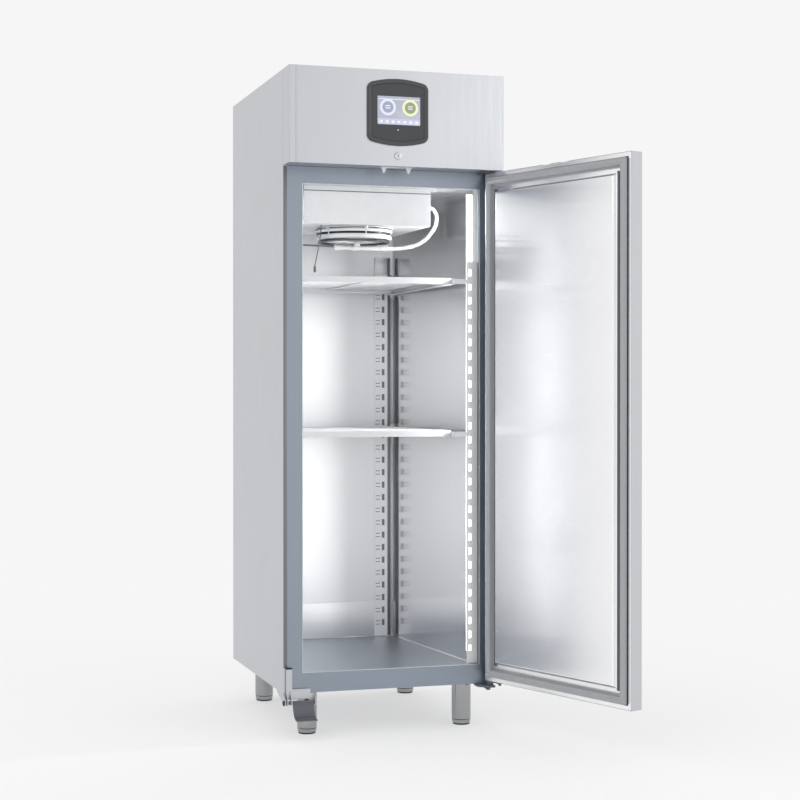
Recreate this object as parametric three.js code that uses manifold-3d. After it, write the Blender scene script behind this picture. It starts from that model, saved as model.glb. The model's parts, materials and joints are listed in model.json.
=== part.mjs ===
// Bakery proofing cabinet: an insulated steel cabinet on four levelling legs, with one door hung on the
// right, a control panel above the door, two wire shelves and a foot pedal that pushes the door open.
// Millimetres, +X to the right, +Y to the back, +Z up, with the door swung open.
import * as THREE from "three";
import { mergeVertices } from "three/addons/utils/BufferGeometryUtils.js";
import Module from "manifold-3d";

const wasm = await Module();
wasm.setup();

// ---------- driving dimensions, measured from the left side, the front frame and the floor ----------
const WIDTH = 700;
const DEPTH = 753;
const HEIGHT = 2080;
const LEG = 138;
const SHEET = 1.2;
const GAP = 0.4;
const CENTRE_X = 464; // middle of the footprint with the door open
const CENTRE_Y = 49;

const CHAMBER = { left: 61.5, right: 648.5, front: 12.4, back: 703, floor: 200, ceiling: 1729 };
const FRAME = { edge: 13.3, depth: 11.6, top: 1780.5, radius: 4 };
const FOAM_TOP = 1776.5;
const PANEL = { front: -83, back: -1, bottom: 1781, radius: 4, axisY: -1.5, axisZ: 2079 };
const DOOR = { left: 14.5, right: 685.5, front: -83, inner: -15.7, bottom: 151.5, top: 1776, open: 109 };
const PIVOT = { x: 674.8, y: -27.5, pinRadius: 6, holeRadius: 6.6 };
const GRIP = { width: 56, depth: 24, lip: 23, wall: 2.5, hook: 6.5 };
const GASKET = { outer: 17, width: 20, front: 0 };
const TRAY = { sideMargin: 73, endMargin: 66, rise: 13.5 };

const SHELF = { left: 66, right: 567, front: 44, back: 672, height: 20, bar: 8, wire: 5, wires: 15 };
const SHELF_TOPS = { upper: 1444.4, lower: 953.6 };
const RUNNER = { thick: 1.6, leg: 18, rise: 16, front: 14.8, back: 697.5 };
const UPRIGHT = { bottom: 203, top: 1496, front: 13, back: 698, pitch: 44.8, firstSlot: 240, slots: 28 };
const SLOT = { width: 9, height: 22 };
const LED = { left: 611, right: 631, front: 17, back: 25, bottom: 242, top: 1712 };
const DUCT = { frontX: 632, frontY: 27, backX: 572, backY: 702 };

const UNIT = { left: 79, right: 499, front: 48, back: 440, bottom: 1609, joint: 1712.8, top: 1728.6 };
const FAN = { x: 281, y: 187, hole: 120, blade: 110, hub: 36, guard: 127 };
const STEAM = { y: 118, z: 1540, radius: 7, left: 199, right: 376 };
const LEG_SPOTS = { left: 92, right: 608, front: 62, back: 668 };
const LEG_RADIUS = 31.3;
const PEDAL = { y: -15, z: 111.5, left: -4.4, right: 101, radius: 6 };
const DISPLAY = { x: 347, z: 1948, halfWidth: 99.5, halfHeight: 88, bulge: 16, corner: 14 };
const GLASS = { halfWidth: 83.4, top: 2025, bottom: 1875 };
const LOCK = { x: 348, z: 1813, head: 11.5, barrel: 8.5, camFront: -55.7, camBack: -52.7, camReach: 44 };
const CATCH = { spots: [309.4, 389.7], y: -59, tip: 1762 };

// ---------- geometry helpers ----------
function block(x0, x1, y0, y1, z0, z1) {
  const box = new THREE.BoxGeometry(x1 - x0, y1 - y0, z1 - z0);
  return box.translate((x0 + x1) / 2, (y0 + y1) / 2, (z0 + z1) / 2);
}

function shapeOf(points) {
  return new THREE.Shape(points.map(([x, y]) => new THREE.Vector2(x, y)));
}

// Rectangle with rounded corners, as a path for a shape or a hole.
function roundedRectangle(x0, x1, y0, y1, r, Kind = THREE.Shape) {
  const path = new Kind();
  path.moveTo(x0 + r, y0);
  path.lineTo(x1 - r, y0);
  path.absarc(x1 - r, y0 + r, r, -Math.PI / 2, 0);
  path.lineTo(x1, y1 - r);
  path.absarc(x1 - r, y1 - r, r, 0, Math.PI / 2);
  path.lineTo(x0 + r, y1);
  path.absarc(x0 + r, y1 - r, r, Math.PI / 2, Math.PI);
  path.lineTo(x0, y0 + r);
  path.absarc(x0 + r, y0 + r, r, Math.PI, Math.PI * 1.5);
  return path;
}

function extrude(shape, depth, curveSegments = 5) {
  return new THREE.ExtrudeGeometry(shape, { depth, bevelEnabled: false, curveSegments });
}

// A plan outline in (x, y), standing from z0 to z1.
function standing(shape, z0, z1) {
  return extrude(shape, z1 - z0).translate(0, 0, z0);
}

// A front-view outline in (x, z), from y0 back to y1.
function facing(shape, y0, y1, curveSegments) {
  const turn = new THREE.Matrix4().makeBasis(
    new THREE.Vector3(1, 0, 0),
    new THREE.Vector3(0, 0, 1),
    new THREE.Vector3(0, -1, 0),
  );
  return extrude(shape, y1 - y0, curveSegments).applyMatrix4(turn).translate(0, y1, 0);
}

// A side-view outline in (y, z), from x0 to x1.
function sideways(shape, x0, x1, curveSegments) {
  const turn = new THREE.Matrix4().makeBasis(
    new THREE.Vector3(0, 1, 0),
    new THREE.Vector3(0, 0, 1),
    new THREE.Vector3(1, 0, 0),
  );
  return extrude(shape, x1 - x0, curveSegments).applyMatrix4(turn).translate(x0, 0, 0);
}

// A profile of [radius, z] pairs turned about the vertical through (x, y).
function turned(profile, x, y, segments = 32) {
  const points = profile.map(([r, z]) => new THREE.Vector2(r, z));
  return new THREE.LatheGeometry(points, segments).rotateX(Math.PI / 2).translate(x, y, 0);
}

function rod(radius, x, y, z0, z1, segments = 20) {
  return new THREE.CylinderGeometry(radius, radius, z1 - z0, segments)
    .rotateX(Math.PI / 2)
    .translate(x, y, (z0 + z1) / 2);
}

function rodAlongX(radius, x0, x1, y, z, segments = 20) {
  return new THREE.CylinderGeometry(radius, radius, x1 - x0, segments)
    .rotateZ(Math.PI / 2)
    .translate((x0 + x1) / 2, y, z);
}

function rodAlongY(radius, x, y0, y1, z, segments = 20) {
  return new THREE.CylinderGeometry(radius, radius, y1 - y0, segments).translate(x, (y0 + y1) / 2, z);
}

// A round tube swept along a smooth curve through the given points.
function hose(points, radius, steps, sides = 10) {
  const path = new THREE.CatmullRomCurve3(points.map((p) => new THREE.Vector3(...p)));
  const circle = new THREE.Shape().absarc(0, 0, radius, 0, Math.PI * 2);
  return new THREE.ExtrudeGeometry(circle, {
    steps,
    curveSegments: sides / 2,
    extrudePath: path,
    bevelEnabled: false,
  });
}

function solid(geometry) {
  const bare = geometry.index ? geometry.toNonIndexed() : geometry.clone();
  bare.deleteAttribute("normal");
  bare.deleteAttribute("uv");
  const merged = mergeVertices(bare, 1e-4);
  return new wasm.Manifold(
    new wasm.Mesh({
      numProp: 3,
      vertProperties: merged.attributes.position.array,
      triVerts: new Uint32Array(merged.index.array),
    }),
  );
}

function geometryOf(body) {
  const mesh = body.getMesh();
  const geometry = new THREE.BufferGeometry();
  geometry.setAttribute("position", new THREE.BufferAttribute(mesh.vertProperties, 3));
  geometry.setIndex(new THREE.BufferAttribute(mesh.triVerts, 1));
  geometry.computeVertexNormals();
  return geometry;
}

function join(...geometries) {
  const bodies = geometries.map(solid);
  return geometryOf(bodies.reduce((all, next) => all.add(next)));
}

function cut(geometry, ...tools) {
  const bodies = tools.map(solid);
  return geometryOf(bodies.reduce((left, tool) => left.subtract(tool), solid(geometry)));
}

// ---------- casing ----------
// Side sheet with a narrow return along the front and the back edge; side is +1 on the left, -1 on the right.
function sidePanel(side) {
  const frontReturn = 13;
  const backReturn = 20;
  const plan = [
    [0, 0],
    [frontReturn, 0],
    [frontReturn, SHEET],
    [SHEET, SHEET],
    [SHEET, DEPTH - SHEET],
    [backReturn, DEPTH - SHEET],
    [backReturn, DEPTH],
    [0, DEPTH],
  ];
  const placed = side > 0 ? plan : plan.map(([x, y]) => [WIDTH - x, y]).reverse();
  return standing(shapeOf(placed), LEG, HEIGHT);
}

function backPanel() {
  const backReturn = 20;
  const slots = [];
  for (let row = 0; row < 8; row += 1) {
    const z = 1850 + row * 22;
    slots.push(block(230, 470, DEPTH - 5, DEPTH + 5, z, z + 8));
  }
  const sheet = block(backReturn + GAP, WIDTH - backReturn - GAP, DEPTH - SHEET, DEPTH, LEG, HEIGHT);
  return cut(sheet, ...slots);
}

function basePanel() {
  return block(SHEET + GAP, WIDTH - SHEET - GAP, CHAMBER.front, DEPTH - SHEET - GAP, LEG, LEG + SHEET);
}

function topCover() {
  const slots = [];
  for (let row = 0; row < 10; row += 1) {
    const y = 260 + row * 26;
    slots.push(block(200, 500, y, y + 10, HEIGHT - 10, HEIGHT + 10));
  }
  const top = HEIGHT - 0.6;
  const sheet = block(SHEET + GAP, WIDTH - SHEET - GAP, SHEET + GAP, DEPTH - SHEET - GAP, top - SHEET, top);
  return cut(sheet, ...slots);
}

function frontFrame() {
  const ring = roundedRectangle(FRAME.edge, WIDTH - FRAME.edge, LEG, FRAME.top, 1);
  const { left, right, floor, ceiling } = CHAMBER;
  ring.holes.push(roundedRectangle(left, right, floor, ceiling, FRAME.radius, THREE.Path));
  const bracketNotch = block(641.6, 686.4, -5, 60, FOAM_TOP + 0.3, FRAME.top + 10);
  return cut(facing(ring, GAP, GAP + FRAME.depth, 3), bracketNotch);
}

// The sheets that line the chamber, each a plain wall.
function liner(wall) {
  const { left, right, front, back, floor, ceiling } = CHAMBER;
  const x0 = left + GAP;
  const x1 = right - GAP;
  const walls = {
    left: [left - SHEET, left, front, back + SHEET, floor - SHEET, ceiling + SHEET],
    right: [right, right + SHEET, front, back + SHEET, floor - SHEET, ceiling + SHEET],
    back: [x0, x1, back, back + SHEET, floor + GAP, ceiling - GAP],
    ceiling: [x0, x1, front, back - GAP, ceiling, ceiling + SHEET],
    floor: [x0, x1, front, back - GAP, floor - SHEET, floor],
  };
  return block(...walls[wall]);
}

function insulation() {
  const skin = SHEET + GAP;
  const { left, right, front, back, floor, ceiling } = CHAMBER;
  const foam = block(skin, WIDTH - skin, front, DEPTH - skin, LEG + skin, FOAM_TOP);
  const hollow = block(left - skin, right + skin, front - 5, back + skin, floor - skin, ceiling + skin);
  return cut(foam, hollow);
}

// Sheet that closes the tapering air channel along the right wall, with a return to that wall at the front
// and a foot flange along the floor.
function airDuctPanel() {
  const { frontX, frontY, backX, backY } = DUCT;
  const foot = 7;
  const wall = shapeOf([
    [frontX, frontY],
    [frontX + SHEET, frontY],
    [backX + SHEET, backY],
    [backX, backY],
  ]);
  const flange = shapeOf([
    [frontX - foot, frontY],
    [frontX + 0.5, frontY],
    [backX + 0.5, backY],
    [backX - foot, backY],
  ]);
  const low = CHAMBER.floor + GAP;
  const high = CHAMBER.ceiling - GAP;
  const frontReturn = block(frontX, CHAMBER.right - GAP, frontY, frontY + SHEET, low, high);
  return join(standing(wall, low, high), standing(flange, low, low + 1.5), frontReturn);
}

// ---------- chamber fittings ----------
// Slotted angle post: the slotted face looks forward, and a flange runs back along the wall.
function upright(faceLeft, faceRight, slotLeft, faceY, flangeX, flangeDepth) {
  const { bottom, top, pitch, firstSlot, slots } = UPRIGHT;
  const face = roundedRectangle(faceLeft, faceRight, bottom, top, 0.5);
  for (let i = 0; i < slots; i += 1) {
    const z = firstSlot + i * pitch;
    const hole = shapeOf([
      [slotLeft, z],
      [slotLeft + SLOT.width, z],
      [slotLeft + SLOT.width, z + SLOT.height],
      [slotLeft, z + SLOT.height],
    ]);
    face.holes.push(hole);
  }
  const plate = facing(face, faceY, faceY + SHEET, 1);
  const flange = block(flangeX, flangeX + SHEET, faceY, faceY + flangeDepth, bottom, top);
  return join(plate, flange);
}

// Slotted post lying flat on the left wall, with its slots looking to the right.
function wallPost(front) {
  const { bottom, top, pitch, firstSlot, slots } = UPRIGHT;
  const face = roundedRectangle(front, front + 36, bottom, top, 0.5);
  for (let i = 0; i < slots; i += 1) {
    const z = firstSlot + i * pitch;
    const hole = shapeOf([
      [front + 20, z],
      [front + 20 + SLOT.width, z],
      [front + 20 + SLOT.width, z + SLOT.height],
      [front + 20, z + SLOT.height],
    ]);
    face.holes.push(hole);
  }
  return sideways(face, CHAMBER.left + GAP, CHAMBER.left + GAP + SHEET, 1);
}

function ledStrip() {
  const profile = roundedRectangle(LED.left, LED.right, LED.front, LED.back, 2.5);
  return standing(profile, LED.bottom, LED.top);
}

// Angle that carries one side of a shelf; side is -1 on the left and +1 on the right.
function runner(top, side) {
  const { thick, leg, rise, front, back } = RUNNER;
  const z = top - SHELF.height - GAP;
  const outer = side < 0 ? SHELF.left - GAP : SHELF.right + GAP;
  const inner = outer - side * leg;
  const shelfLeg = block(Math.min(outer, inner), Math.max(outer, inner), front, back, z - thick, z);
  const wall = outer + side * thick;
  const upstand = block(Math.min(outer, wall), Math.max(outer, wall), front, back, z - thick, z + rise);
  const reach = side < 0 ? CHAMBER.left + 2.1 : CHAMBER.right - 4.3;
  const tab = block(Math.min(outer, reach), Math.max(outer, reach), front, front + thick, z, z + rise);
  return join(shelfLeg, upstand, tab);
}

function shelf(top) {
  const { left, right, front, back, height, bar, wire, wires } = SHELF;
  const bottom = top - height;
  const pieces = [
    block(left, right, front, front + bar, bottom, top),
    block(left, right, back - bar, back, bottom, top),
    block(left, left + bar, front, back, bottom, top),
    block(right - bar, right, front, back, bottom, top),
    block((left + right - wire) / 2, (left + right + wire) / 2, front, back, top - wire * 2, top - wire),
  ];
  const pitch = (back - front - bar) / (wires + 1);
  for (let i = 1; i <= wires; i += 1) {
    const y = front + bar / 2 + i * pitch;
    pieces.push(block(left + 1, right - 1, y - wire / 2, y + wire / 2, top - wire * 1.5, top - 0.5));
  }
  return join(...pieces);
}

// ---------- air and steam unit under the ceiling ----------
function tray(x0, x1, y0, y1, z0, z1) {
  const hollow = block(x0 + SHEET, x1 - SHEET, y0 + SHEET, y1 - SHEET, z0 + SHEET, z1 + 5);
  return cut(block(x0, x1, y0, y1, z0, z1), hollow);
}

function unitRail() {
  return tray(UNIT.left, UNIT.right, UNIT.front, UNIT.back, UNIT.joint + GAP, UNIT.top);
}

function unitCover() {
  const shell = tray(UNIT.left, UNIT.right, UNIT.front, UNIT.back, UNIT.bottom, UNIT.joint);
  return cut(shell, rod(FAN.hole, FAN.x, FAN.y, UNIT.bottom - 5, UNIT.bottom + 5, 48));
}

function fanMotor() {
  const ribs = 1700;
  const can = rod(44, FAN.x, FAN.y, 1640, ribs, 28);
  return join(can, block(UNIT.left + 4, UNIT.right - 4, FAN.y - 15, FAN.y + 15, ribs - 1, ribs + 2));
}

function fanImpeller() {
  const hubBottom = 1613;
  const hubTop = 1637;
  const pieces = [rod(FAN.hub, FAN.x, FAN.y, hubBottom, hubTop, 28)];
  const blades = 5;
  for (let i = 0; i < blades; i += 1) {
    const blade = new THREE.BoxGeometry(FAN.blade - FAN.hub + 6, 62, 2.4)
      .rotateX(0.3)
      .translate((FAN.blade + FAN.hub - 6) / 2, 0, 0)
      .rotateZ((i / blades) * Math.PI * 2)
      .translate(FAN.x, FAN.y, (hubBottom + hubTop) / 2);
    pieces.push(blade);
  }
  return join(...pieces);
}

// Stepped wire rings on radial spokes, narrowing downwards.
function fanGuard() {
  const steps = [
    { radius: FAN.guard, z: 1602.5 },
    { radius: FAN.guard - 8, z: 1592 },
    { radius: FAN.guard - 20, z: 1583 },
    { radius: 50, z: 1583 },
  ];
  const pieces = steps.map(({ radius, z }) => {
    const ring = [
      [radius - 3, z - 3],
      [radius, z - 3],
      [radius, z + 3],
      [radius - 3, z + 3],
      [radius - 3, z - 3],
    ];
    return turned(ring, FAN.x, FAN.y, 32);
  });
  const spokes = 6;
  const inner = steps[3].radius - 2;
  const drop = shapeOf([
    [FAN.guard - 0.4, UNIT.bottom - GAP],
    [FAN.guard - 4, UNIT.bottom - GAP],
    [FAN.guard - 23, 1583],
    [inner, 1583],
    [inner, 1580.5],
    [FAN.guard - 21.5, 1580.5],
    [FAN.guard - 0.4, 1600],
  ]);
  const bent = drop.clone();
  for (let i = 0; i < spokes; i += 1) {
    const spoke = extrude(bent, 3)
      .rotateX(Math.PI / 2)
      .translate(0, 1.5, 0)
      .rotateZ(((i + 0.5) / spokes) * Math.PI * 2)
      .translate(FAN.x, FAN.y, 0);
    pieces.push(spoke);
  }
  return join(...pieces);
}

function ringHeater() {
  const ring = 112;
  const tube = 5;
  const z = 1572;
  const profile = [];
  for (let i = 0; i <= 8; i += 1) {
    const a = (i / 8) * Math.PI * 2;
    profile.push([ring + tube * Math.cos(a), z + tube * Math.sin(a)]);
  }
  return turned(profile, FAN.x, FAN.y, 32);
}

function steamBar() {
  const { y, z, radius, left, right } = STEAM;
  const strapX = 262;
  const strapY = UNIT.front + 6;
  const strap = shapeOf([
    [strapY, z - 2],
    [y, z - 2],
    [y, z + 1],
    [strapY + 3, z + 1],
    [strapY + 3, UNIT.bottom - GAP],
    [strapY, UNIT.bottom - GAP],
  ]);
  return join(rodAlongX(radius, left, right, y, z, 16), sideways(strap, strapX, strapX + 16));
}

function steamHose() {
  const x = UNIT.right + GAP;
  const route = [
    [x, STEAM.y, 1677],
    [x + 12, STEAM.y, 1677],
    [x + 30, STEAM.y, 1672],
    [x + 42, STEAM.y, 1655],
    [x + 43, STEAM.y, 1636],
    [x + 38, STEAM.y, 1616],
    [x + 24, STEAM.y, 1594],
    [x + 2, STEAM.y, 1571],
    [x - 30, STEAM.y, 1553],
    [x - 66, STEAM.y, 1544],
    [x - 100, STEAM.y, 1540.5],
    [STEAM.right + GAP, STEAM.y, STEAM.z],
  ];
  return hose(route, 6, 28);
}

function temperatureProbe() {
  const start = [148, 96];
  const route = [
    [...start, UNIT.bottom - GAP],
    [146, 97, 1585],
    [143, 100, 1555],
    [138, 105, 1520],
    [133, 110, 1490],
    [131, 112, 1478],
  ];
  return join(hose(route, 2.2, 14, 8), rod(4, 131, 112, 1458, 1479, 12));
}

// Machine deck above the ceiling with the compressor pot and the finned condenser on it.
function condensingUnit() {
  const deckTop = 1780;
  const deck = block(24, 676, 66, 735, FOAM_TOP + GAP, deckTop);
  const pot = [
    [0, deckTop - 1],
    [85, deckTop - 1],
    [88, deckTop + 40],
    [88, deckTop + 130],
    [70, deckTop + 170],
    [30, deckTop + 185],
    [0, deckTop + 187],
  ];
  const condenser = block(390, 640, 150, 215, deckTop - 1, 2010);
  const shroud = rodAlongY(95, 515, 214, 240, 1895, 28);
  return join(deck, turned(pot, 190, 380, 28), condenser, shroud);
}

// ---------- legs ----------
function legSleeve(x, y) {
  const bore = 15.6;
  const profile = [
    [0, 118],
    [bore, 118],
    [bore, 18],
    [LEG_RADIUS, 18],
    [LEG_RADIUS, LEG - GAP],
    [0, LEG - GAP],
  ];
  return turned(profile, x, y, 24);
}

function levellingFoot(x, y) {
  const profile = [
    [0, 0],
    [26, 0],
    [28, 3],
    [30.6, 15],
    [30.6, 17.5],
    [15, 17.5],
    [15, 70],
    [0, 70],
  ];
  return turned(profile, x, y, 24);
}

// ---------- foot pedal ----------
function pedalBracket() {
  const top = LEG - GAP;
  const depth = 28;
  const cheek = (back) =>
    shapeOf([
      [back, top],
      [back, top - 6],
      [0, 104],
      [-22, 103],
      [-23, 122],
      [-2, top],
    ]);
  const hole = rodAlongX(PEDAL.radius + GAP, -10, 120, PEDAL.y, PEDAL.z);
  const left = sideways(cheek(86), 0.6, 3.6);
  const right = sideways(cheek(depth), 97.4, 100.4);
  const plate = block(1, 100, -2, depth, top - 3, top);
  const web = block(1, 100, -2, 1, 119, top);
  return cut(join(left, right, plate, web), hole);
}

// Hinge rod with the curved tread welded under it.
function pedalLever() {
  const { y, z, left, right, radius } = PEDAL;
  const bend = 45;
  const centre = { y: y - bend - 5, z: z - 4 };
  const tread = new THREE.Shape();
  tread.moveTo(centre.y + bend, z);
  tread.lineTo(centre.y + bend, centre.z);
  tread.absarc(centre.y, centre.z, bend, 0, -Math.PI / 2, true);
  tread.lineTo(centre.y - 6, centre.z - bend);
  tread.lineTo(centre.y - 6, centre.z - bend + 3);
  tread.lineTo(centre.y, centre.z - bend + 3);
  tread.absarc(centre.y, centre.z, bend - 3, -Math.PI / 2, 0, false);
  tread.lineTo(centre.y + bend - 3, z);
  const sheet = sideways(tread, 26, 93, 8);
  return join(rodAlongX(radius, left, right, y, z), sheet);
}

// L-shaped pushing plate in front of the frame, on two ears that sit on the hinge rod.
function pusherPlate() {
  const front = -6;
  const back = -3;
  const ell = shapeOf([
    [7.6, 134],
    [86, 134],
    [86, 152],
    [27.4, 152],
    [27.4, 214],
    [7.6, 214],
  ]);
  const ear = shapeOf([
    [PEDAL.y - 9, PEDAL.z - 9],
    [PEDAL.y + 9, PEDAL.z - 9],
    [back, 136],
    [back, 150],
    [front, 150],
    [PEDAL.y - 9, PEDAL.z + 9],
  ]);
  const hole = rodAlongX(PEDAL.radius + GAP, -10, 120, PEDAL.y, PEDAL.z);
  const ears = join(sideways(ear, 8, 11), sideways(ear, 21, 24));
  return cut(join(facing(ell, front, back), ears), hole);
}

function pusherBuffer() {
  return facing(roundedRectangle(7.6, 27.4, 214 + GAP, 218.5, 1.5), -8.5, -2.6, 3);
}

// ---------- hinges ----------
function hingeBracketTop() {
  const bottom = DOOR.top + 1.2;
  const plate = block(642, 686, -44, 50, bottom, 1780.2);
  const { x, y, pinRadius } = PIVOT;
  return join(plate, rod(pinRadius, x, y, DOOR.top - 18, bottom + 1));
}

function hingeBracketBottom() {
  const top = LEG - GAP;
  const plan = shapeOf([
    [636, -18],
    [662, -46],
    [686, -46],
    [686, 70],
    [641, 70],
    [641, 20],
    [636, 15],
  ]);
  const rib = shapeOf([
    [-44, top],
    [60, top],
    [60, 130],
    [-30, 121],
    [-44, 124],
  ]);
  const { x, y, pinRadius } = PIVOT;
  const collar = rod(11, x, y, top - 1, DOOR.bottom - GAP);
  const pin = rod(pinRadius, x, y, top - 1, DOOR.bottom + 18);
  return join(standing(plan, top - 7, top), sideways(rib, 664, 670), collar, pin);
}

// ---------- door, drawn closed and then swung about its pivot ----------
function doorPlan(inset) {
  const left = DOOR.left + inset;
  const right = DOOR.right - inset;
  const front = DOOR.front + inset;
  const step = DOOR.front + GRIP.depth + inset;
  const stepX = DOOR.left + GRIP.width + inset;
  const r = 5 - inset;
  const plan = new THREE.Shape();
  plan.moveTo(left, DOOR.inner);
  plan.lineTo(left, step + 2);
  plan.lineTo(left + 2, step);
  plan.lineTo(stepX, step);
  plan.lineTo(stepX, front);
  plan.lineTo(right - r, front);
  plan.absarc(right - r, front + r, r, -Math.PI / 2, 0);
  plan.lineTo(right, DOOR.inner);
  return plan;
}

// Opening that the lock's cam swings down through, from its level rest to its upright locked place.
function camSlot(low, high) {
  return block(LOCK.x - 6, LOCK.x + 32.5, LOCK.camFront - 1, LOCK.camBack + 1, low, high);
}

// What is let into the door: pin holes, the notches for the two catches and the slot for the lock's cam.
function doorCuts() {
  const { x, y, holeRadius } = PIVOT;
  const top = DOOR.top;
  const notches = CATCH.spots.map((spot) => block(spot - 17, spot + 17, -68, 0, CATCH.tip - 2, top + 5));
  return [
    rod(holeRadius, x, y, DOOR.bottom - 5, DOOR.bottom + 19.5),
    rod(holeRadius, x, y, top - 19.5, top + 5),
    camSlot(top - 17, top + 5),
    ...notches,
  ];
}

function doorSkin() {
  const outer = standing(doorPlan(0), DOOR.bottom, DOOR.top);
  const inner = standing(doorPlan(SHEET), DOOR.bottom + SHEET, DOOR.top - SHEET);
  const { left, right } = DOOR;
  const mouth = block(left + SHEET, right - SHEET, -20, 0, DOOR.bottom + SHEET, DOOR.top - SHEET);
  return cut(outer, inner, mouth, ...doorCuts());
}

function doorCore() {
  const skin = SHEET + GAP;
  const foam = standing(doorPlan(skin), DOOR.bottom + skin, DOOR.top - skin);
  const face = block(0, WIDTH, DOOR.inner - SHEET - GAP, 0, 0, HEIGHT);
  return cut(foam, face, ...doorCuts());
}

// Inner sheet with a raised rectangular tray in its middle.
function doorInnerPanel() {
  const skin = SHEET + GAP;
  const { left, right, inner, bottom, top } = DOOR;
  const { sideMargin, endMargin, rise } = TRAY;
  const sheet = block(left + skin, right - skin, inner - SHEET, inner, bottom + skin, top - skin);
  const raised = [left + sideMargin, right - sideMargin, bottom + endMargin, top - endMargin];
  const bump = facing(roundedRectangle(...raised, 6), inner - SHEET / 2, inner + rise, 3);
  const [x0, x1, z0, z1] = raised;
  const hollow = block(x0 + SHEET, x1 - SHEET, inner - 5, inner + rise - SHEET, z0 + SHEET, z1 - SHEET);
  return cut(join(sheet, bump), hollow, ...doorCuts());
}

function doorGasket() {
  const { left, right, inner, bottom, top } = DOOR;
  const { outer, width, front } = GASKET;
  const far = outer + width;
  const ring = roundedRectangle(left + outer, right - outer, bottom + outer, top - outer, 2);
  ring.holes.push(roundedRectangle(left + far, right - far, bottom + far, top - far, 2, THREE.Path));
  return facing(ring, inner + GAP, front, 2);
}

// Hooked pull along the whole free edge, set in the step of the door's outer face.
function doorGrip() {
  const x1 = DOOR.left + GRIP.width - GAP;
  const x0 = x1 - GRIP.lip;
  const front = DOOR.front;
  const { wall, hook, depth } = GRIP;
  const plan = shapeOf([
    [x0, front],
    [x1, front],
    [x1, front + depth - GAP],
    [x1 - wall, front + depth - GAP],
    [x1 - wall, front + wall],
    [x0 + wall, front + wall],
    [x0 + wall, front + wall + hook],
    [x0, front + wall + hook],
  ]);
  return standing(plan, DOOR.bottom + 1, DOOR.top - 1);
}

// Stop cam screwed under the door beside the lower hinge.
function doorStop() {
  const top = DOOR.bottom - GAP;
  const arm = standing(roundedRectangle(618, 656, -34, -20, 4), top - 4, top);
  return join(arm, rod(5, 625, -27, top - 10, top - 3, 16));
}

// ---------- control panel ----------
function controlPanel() {
  const { front, back, bottom, radius } = PANEL;
  const plan = (inset) => {
    const shape = new THREE.Shape();
    const r = radius - inset;
    shape.moveTo(inset, back + 5);
    shape.lineTo(inset, front + inset + r);
    shape.absarc(inset + r, front + inset + r, r, Math.PI, Math.PI * 1.5);
    shape.lineTo(WIDTH - inset - r, front + inset);
    shape.absarc(WIDTH - inset - r, front + inset + r, r, -Math.PI / 2, 0);
    shape.lineTo(WIDTH - inset, back + 5);
    return shape;
  };
  const outer = standing(plan(0), bottom, HEIGHT);
  const inner = standing(plan(SHEET), bottom + SHEET, HEIGHT - SHEET);
  const rear = block(-5, WIDTH + 5, back, back + 10, bottom - 5, HEIGHT + 5);
  const window = block(DISPLAY.x - 74, DISPLAY.x + 74, front - 5, front + 5, 1886, 2014);
  const keyhole = rodAlongY(LOCK.barrel + GAP, LOCK.x, front - 5, front + 5, LOCK.z, 24);
  return cut(outer, inner, rear, window, keyhole, camSlot(bottom - 5, bottom + 5));
}

// Outline of the display surround: straight sides, and top and bottom edges that bow outwards.
function bezelShape() {
  const { x, z, halfWidth, halfHeight, bulge, corner } = DISPLAY;
  const shape = new THREE.Shape();
  const left = x - halfWidth;
  const right = x + halfWidth;
  const top = z + halfHeight;
  const bottom = z - halfHeight;
  shape.moveTo(left, bottom + corner);
  shape.quadraticCurveTo(left, bottom, left + corner, bottom - 2);
  shape.quadraticCurveTo(x, bottom - 2 * bulge, right - corner, bottom - 2);
  shape.quadraticCurveTo(right, bottom, right, bottom + corner);
  shape.lineTo(right, top - corner);
  shape.quadraticCurveTo(right, top, right - corner, top + 2);
  shape.quadraticCurveTo(x, top + 2 * bulge, left + corner, top + 2);
  shape.quadraticCurveTo(left, top, left, top - corner);
  return shape;
}

function displayBezel() {
  const shape = bezelShape();
  const { halfWidth, top, bottom } = GLASS;
  const hole = [DISPLAY.x - halfWidth, DISPLAY.x + halfWidth, bottom, top];
  shape.holes.push(roundedRectangle(...hole, 7, THREE.Path));
  return facing(shape, PANEL.front - 8, PANEL.front - GAP, 8);
}

// Touch glass in the surround, with its electronics housing behind the panel's window.
function displayUnit() {
  const { halfWidth, top, bottom } = GLASS;
  const edge = halfWidth - GAP;
  const face = [DISPLAY.x - edge, DISPLAY.x + edge, bottom + GAP, top - GAP];
  const glass = facing(roundedRectangle(...face, 6.6), PANEL.front - 6.5, PANEL.front - GAP, 4);
  const housing = block(DISPLAY.x - 72, DISPLAY.x + 72, PANEL.front - 1, PANEL.front + 30, 1888, 2012);
  return join(glass, housing);
}

function lockBarrel() {
  const { x, z, head, barrel } = LOCK;
  const face = rodAlongY(head, x, PANEL.front - 4.5, PANEL.front - GAP, z, 28);
  const body = rodAlongY(barrel, x, PANEL.front - 1, LOCK.camFront - GAP, z, 24);
  const key = block(x - 0.8, x + 0.8, PANEL.front - 6, PANEL.front - 3, z - 5, z + 5);
  return cut(join(face, body), key);
}

// Flat tongue on the barrel's inner end. A quarter turn swings it down into the top of the closed door.
function lockCam() {
  const { x, z, barrel, camFront, camBack, camReach } = LOCK;
  const hub = rodAlongY(barrel, x, camFront, camBack, z, 24);
  return join(hub, block(x, x + camReach, camFront, camBack, z - 4.5, z + 4.5));
}

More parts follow.
